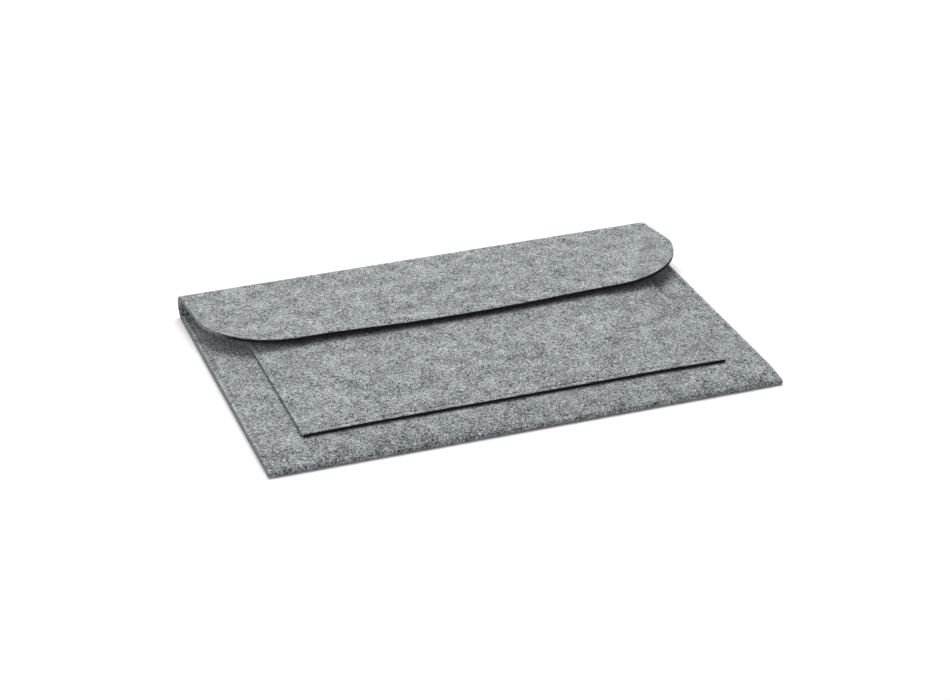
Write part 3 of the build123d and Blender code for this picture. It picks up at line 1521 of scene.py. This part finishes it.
@dataclass
class LoopPatch:
    """The soft half of the closure, glued on the pocket: a low pile on a woven tape."""

    layout: Layout
    ground: Ground
    palette: Palette
    grid: float = 0.8 * MM
    thick_share: float = 0.8
    pile: float = 0.12 * MM
    pile_length: float = 1.3 * MM
    round_over: float = 0.15 * MM
    glue: float = 0.05 * MM

    def build(self) -> bpy.types.Object:
        """Model the patch.

        Returns:
            The piece.
        """
        low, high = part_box("loop_patch")
        thick = (high[2] - low[2]) * self.thick_share
        floor = 3 * self.layout.felt + self.layout.gap + self.glue + thick / 2

        def surface(x: np.ndarray, y: np.ndarray) -> np.ndarray:
            """The patch's middle surface."""
            pile = unevenness(x, y, self.pile_length, Uneven.PILE) * self.pile
            return np.stack([x, y, floor + self.ground.lift(x, y) + pile], axis=1)

        columns = np.arange(low[0], high[0] + self.grid / 2, self.grid)
        rows = np.arange(low[1], high[1] + self.grid / 2, self.grid)
        finishes = (self.palette.loop, self.palette.loop)
        piece = FeltSheet(
            "loop_patch_tape", thick, finishes, columns, rows, surface,
            round_over=self.round_over, lumps=0.0,
        ).build()
        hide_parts("loop_patch")
        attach(piece, "pouch")
        return piece


@dataclass
class HookPatch:
    """The hooked half of the closure, glued under the flap: rows of small hooks on a moulded tape."""

    layout: Layout
    flap: Flap
    palette: Palette
    tape: float = 0.3 * MM
    pitch: float = 1.7 * MM
    stem: tuple[float, float, float] = (0.168 * MM, 0.204 * MM, 0.45 * MM)
    head: float = 0.22 * MM
    head_drop: float = 0.05 * MM
    downward: float = -0.9
    margin: float = 1.2 * MM
    round_over: float = 0.1 * MM
    glue: float = 0.12 * MM
    grid: float = 2.5 * MM

    def tape_surface(self, x: np.ndarray, y: np.ndarray) -> np.ndarray:
        """The tape's middle surface, under the flap's bend.

        Args:
            x: places across.
            y: places from front to mouth.

        Returns:
            The points.
        """
        along = self.flap.start + self.layout.rear_y - y
        felt = self.flap.surface(x, along)
        return np.stack([x, y, felt[:, 2] - self.layout.felt / 2 - self.tape / 2 - self.glue], axis=1)

    def one_hook(self) -> bpy.types.Object:
        """Model one hook: a short stem with a bent head.

        Returns:
            The hook, hanging down from the origin.
        """
        deselect()
        bpy.ops.mesh.primitive_cube_add(size=1.0)
        piece = bpy.context.object
        points = points_of(piece)
        points *= np.array(self.stem)
        points[:, 2] -= self.stem[2] / 2
        move_points(piece, points)
        bpy.ops.object.mode_set(mode="EDIT")
        bpy.ops.mesh.select_all(action="DESELECT")
        bpy.ops.object.mode_set(mode="OBJECT")
        for face in piece.data.polygons:
            face.select = face.normal.z < self.downward
        bpy.ops.object.mode_set(mode="EDIT")
        reach = {"value": (0.0, self.head, -self.head_drop)}
        bpy.ops.mesh.extrude_region_move(TRANSFORM_OT_translate=reach)
        bpy.ops.object.mode_set(mode="OBJECT")
        return piece

    def build(self) -> bpy.types.Object:
        """Model the patch.

        Returns:
            The piece.
        """
        low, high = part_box("hook_patch")
        columns = np.arange(low[0], high[0] + self.grid / 2, self.grid)
        rows = np.arange(low[1], high[1] + self.grid / 2, self.grid)
        finishes = (self.palette.hook, self.palette.hook)
        tape = FeltSheet(
            "hook_patch_tape", self.tape, finishes, columns, rows, self.tape_surface,
            round_over=self.round_over, lumps=0.0,
        ).build()
        hooks = self.one_hook()
        across = int((high[0] - low[0] - 2 * self.margin) / self.pitch) + 1
        along = int((high[1] - low[1] - 2 * self.margin) / self.pitch) + 1
        repeat(hooks, across, (self.pitch, 0.0, 0.0))
        repeat(hooks, along, (0.0, self.pitch, 0.0))
        points = points_of(hooks) + np.array([low[0] + self.margin, low[1] + self.margin, 0.0])
        points[:, 2] += self.tape_surface(points[:, 0], points[:, 1])[:, 2] - self.tape / 2
        move_points(hooks, points)
        join([tape, hooks])
        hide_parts("hook_patch")
        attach(tape, "flap")
        return tape


# ---------------------------------------------------------------------------------------------- studio


@dataclass(frozen=True)
class SoftLight:
    """A square soft light that looks at the sleeve.

    Attributes:
        name: the light's name.
        place: where it hangs.
        size: its side.
        power: its power in watts.
    """

    name: str
    place: tuple[float, float, float]
    size: float
    power: float

    def hang(self) -> None:
        """Add the light."""
        data = bpy.data.lights.new(self.name, "AREA")
        data.size = self.size
        data.energy = self.power
        light = bpy.data.objects.new(self.name, data)
        bpy.context.scene.collection.objects.link(light)
        light.location = self.place
        light.rotation_mode = "QUATERNION"
        light.rotation_quaternion = Vector(self.place).to_track_quat("Z", "Y")


@dataclass
class Studio:
    """A pale floor, soft light from above, behind and the left, and the camera."""

    azimuth: float = -18.425
    elevation: float = 26.652
    distance: float = 1.8283
    roll: float = -1.272
    lens: float = 93.47
    shift: tuple[float, float] = (0.00454, -0.00079)
    floor_drop: float = 0.05 * MM
    floor_size: float = 12.0
    sky: float = 0.38
    lights: tuple[SoftLight, ...] = (
        SoftLight("overhead", (0.4, 1.25, 2.75), 1.8, 74.0),
        SoftLight("behind", (-0.2, 3.6, 0.95), 1.2, 36.0),
        SoftLight("left", (-2.6, -0.3, 0.9), 1.2, 22.0),
    )

    def camera(self) -> None:
        """Place the camera."""
        turn, rise = math.radians(self.azimuth), math.radians(self.elevation)
        back = Vector((math.sin(turn) * math.cos(rise), -math.cos(turn) * math.cos(rise), math.sin(rise)))
        data = bpy.data.cameras.new("camera")
        data.lens = self.lens
        data.shift_x, data.shift_y = self.shift
        camera = bpy.data.objects.new("camera", data)
        bpy.context.scene.collection.objects.link(camera)
        camera.location = back * self.distance
        camera.rotation_mode = "QUATERNION"
        spin = Quaternion((0.0, 0.0, 1.0), math.radians(self.roll))
        camera.rotation_quaternion = back.to_track_quat("Z", "Y") @ spin
        bpy.context.scene.camera = camera

    def floor(self) -> None:
        """Lay the floor."""
        deselect()
        bpy.ops.mesh.primitive_grid_add(x_subdivisions=4, y_subdivisions=4, size=self.floor_size)
        floor = bpy.context.object
        floor.name = "floor"
        points = points_of(floor)
        points[:, 2] = -self.floor_drop
        move_points(floor, points)
        dress(floor, FloorFinish().material())

    def build(self) -> None:
        """Set up the camera, floor and lights."""
        scene = bpy.context.scene
        scene.view_settings.view_transform = "Standard"
        self.camera()
        self.floor()
        world = bpy.data.worlds.new("studio")
        world.use_nodes = True
        background = world.node_tree.nodes["Background"].inputs
        background["Strength"].default_value = self.sky
        background["Color"].default_value = (1.0, 1.0, 1.0, 1.0)
        scene.world = world
        for light in self.lights:
            light.hang()


# ---------------------------------------------------------------------------------------------- all


def declare_cloth(
    parts: tuple[Pouch, Flap, Pocket],
) -> None:
    """Work out the sizes that the sheets of felt were cut to; the results are not kept or used.

    Args:
        parts: the sub-assemblies that made them, for their sizes.
    """
    shell, tip, bag = parts
    width = 2 * shell.layout.half
    corners = (1 - math.pi / 4) * (tip.left_radius**2 + tip.right_radius**2)
    bow = tip.edge_bow * (width - tip.bow_reach)
    length = shell.back_end - shell.mouth_end
    width * tip.reach - corners - bow
    left, right, front, mouth = bag.box()


def main() -> None:
    """Build the sleeve and its studio."""
    logging.basicConfig(level=logging.INFO, format="%(name)s: %(message)s")
    layout = Layout.read()
    ground = Ground(layout)
    palette = Palette.mix()
    studio = Studio()
    pouch = Pouch(layout, ground, palette)
    fold = RearFold(layout, pouch, palette)
    flap = Flap(layout, fold, palette)
    pocket = Pocket(layout, ground, palette)
    sewing = Sewing(layout, ground, pouch, pocket, palette)
    studio.build()
    pouch_piece = pouch.build()
    fold_pieces = fold.build()
    flap_piece = flap.build()
    pocket_piece = pocket.build()
    threads = sewing.build()
    patches = [LoopPatch(layout, ground, palette).build(), HookPatch(layout, flap, palette).build()]
    declare_cloth((pouch, flap, pocket))
    for piece in (pouch_piece, *fold_pieces, flap_piece, pocket_piece, *threads, *patches):
        log.info("%s has %d faces", piece.name, len(piece.data.polygons))


if __name__ == "__main__":
    main()
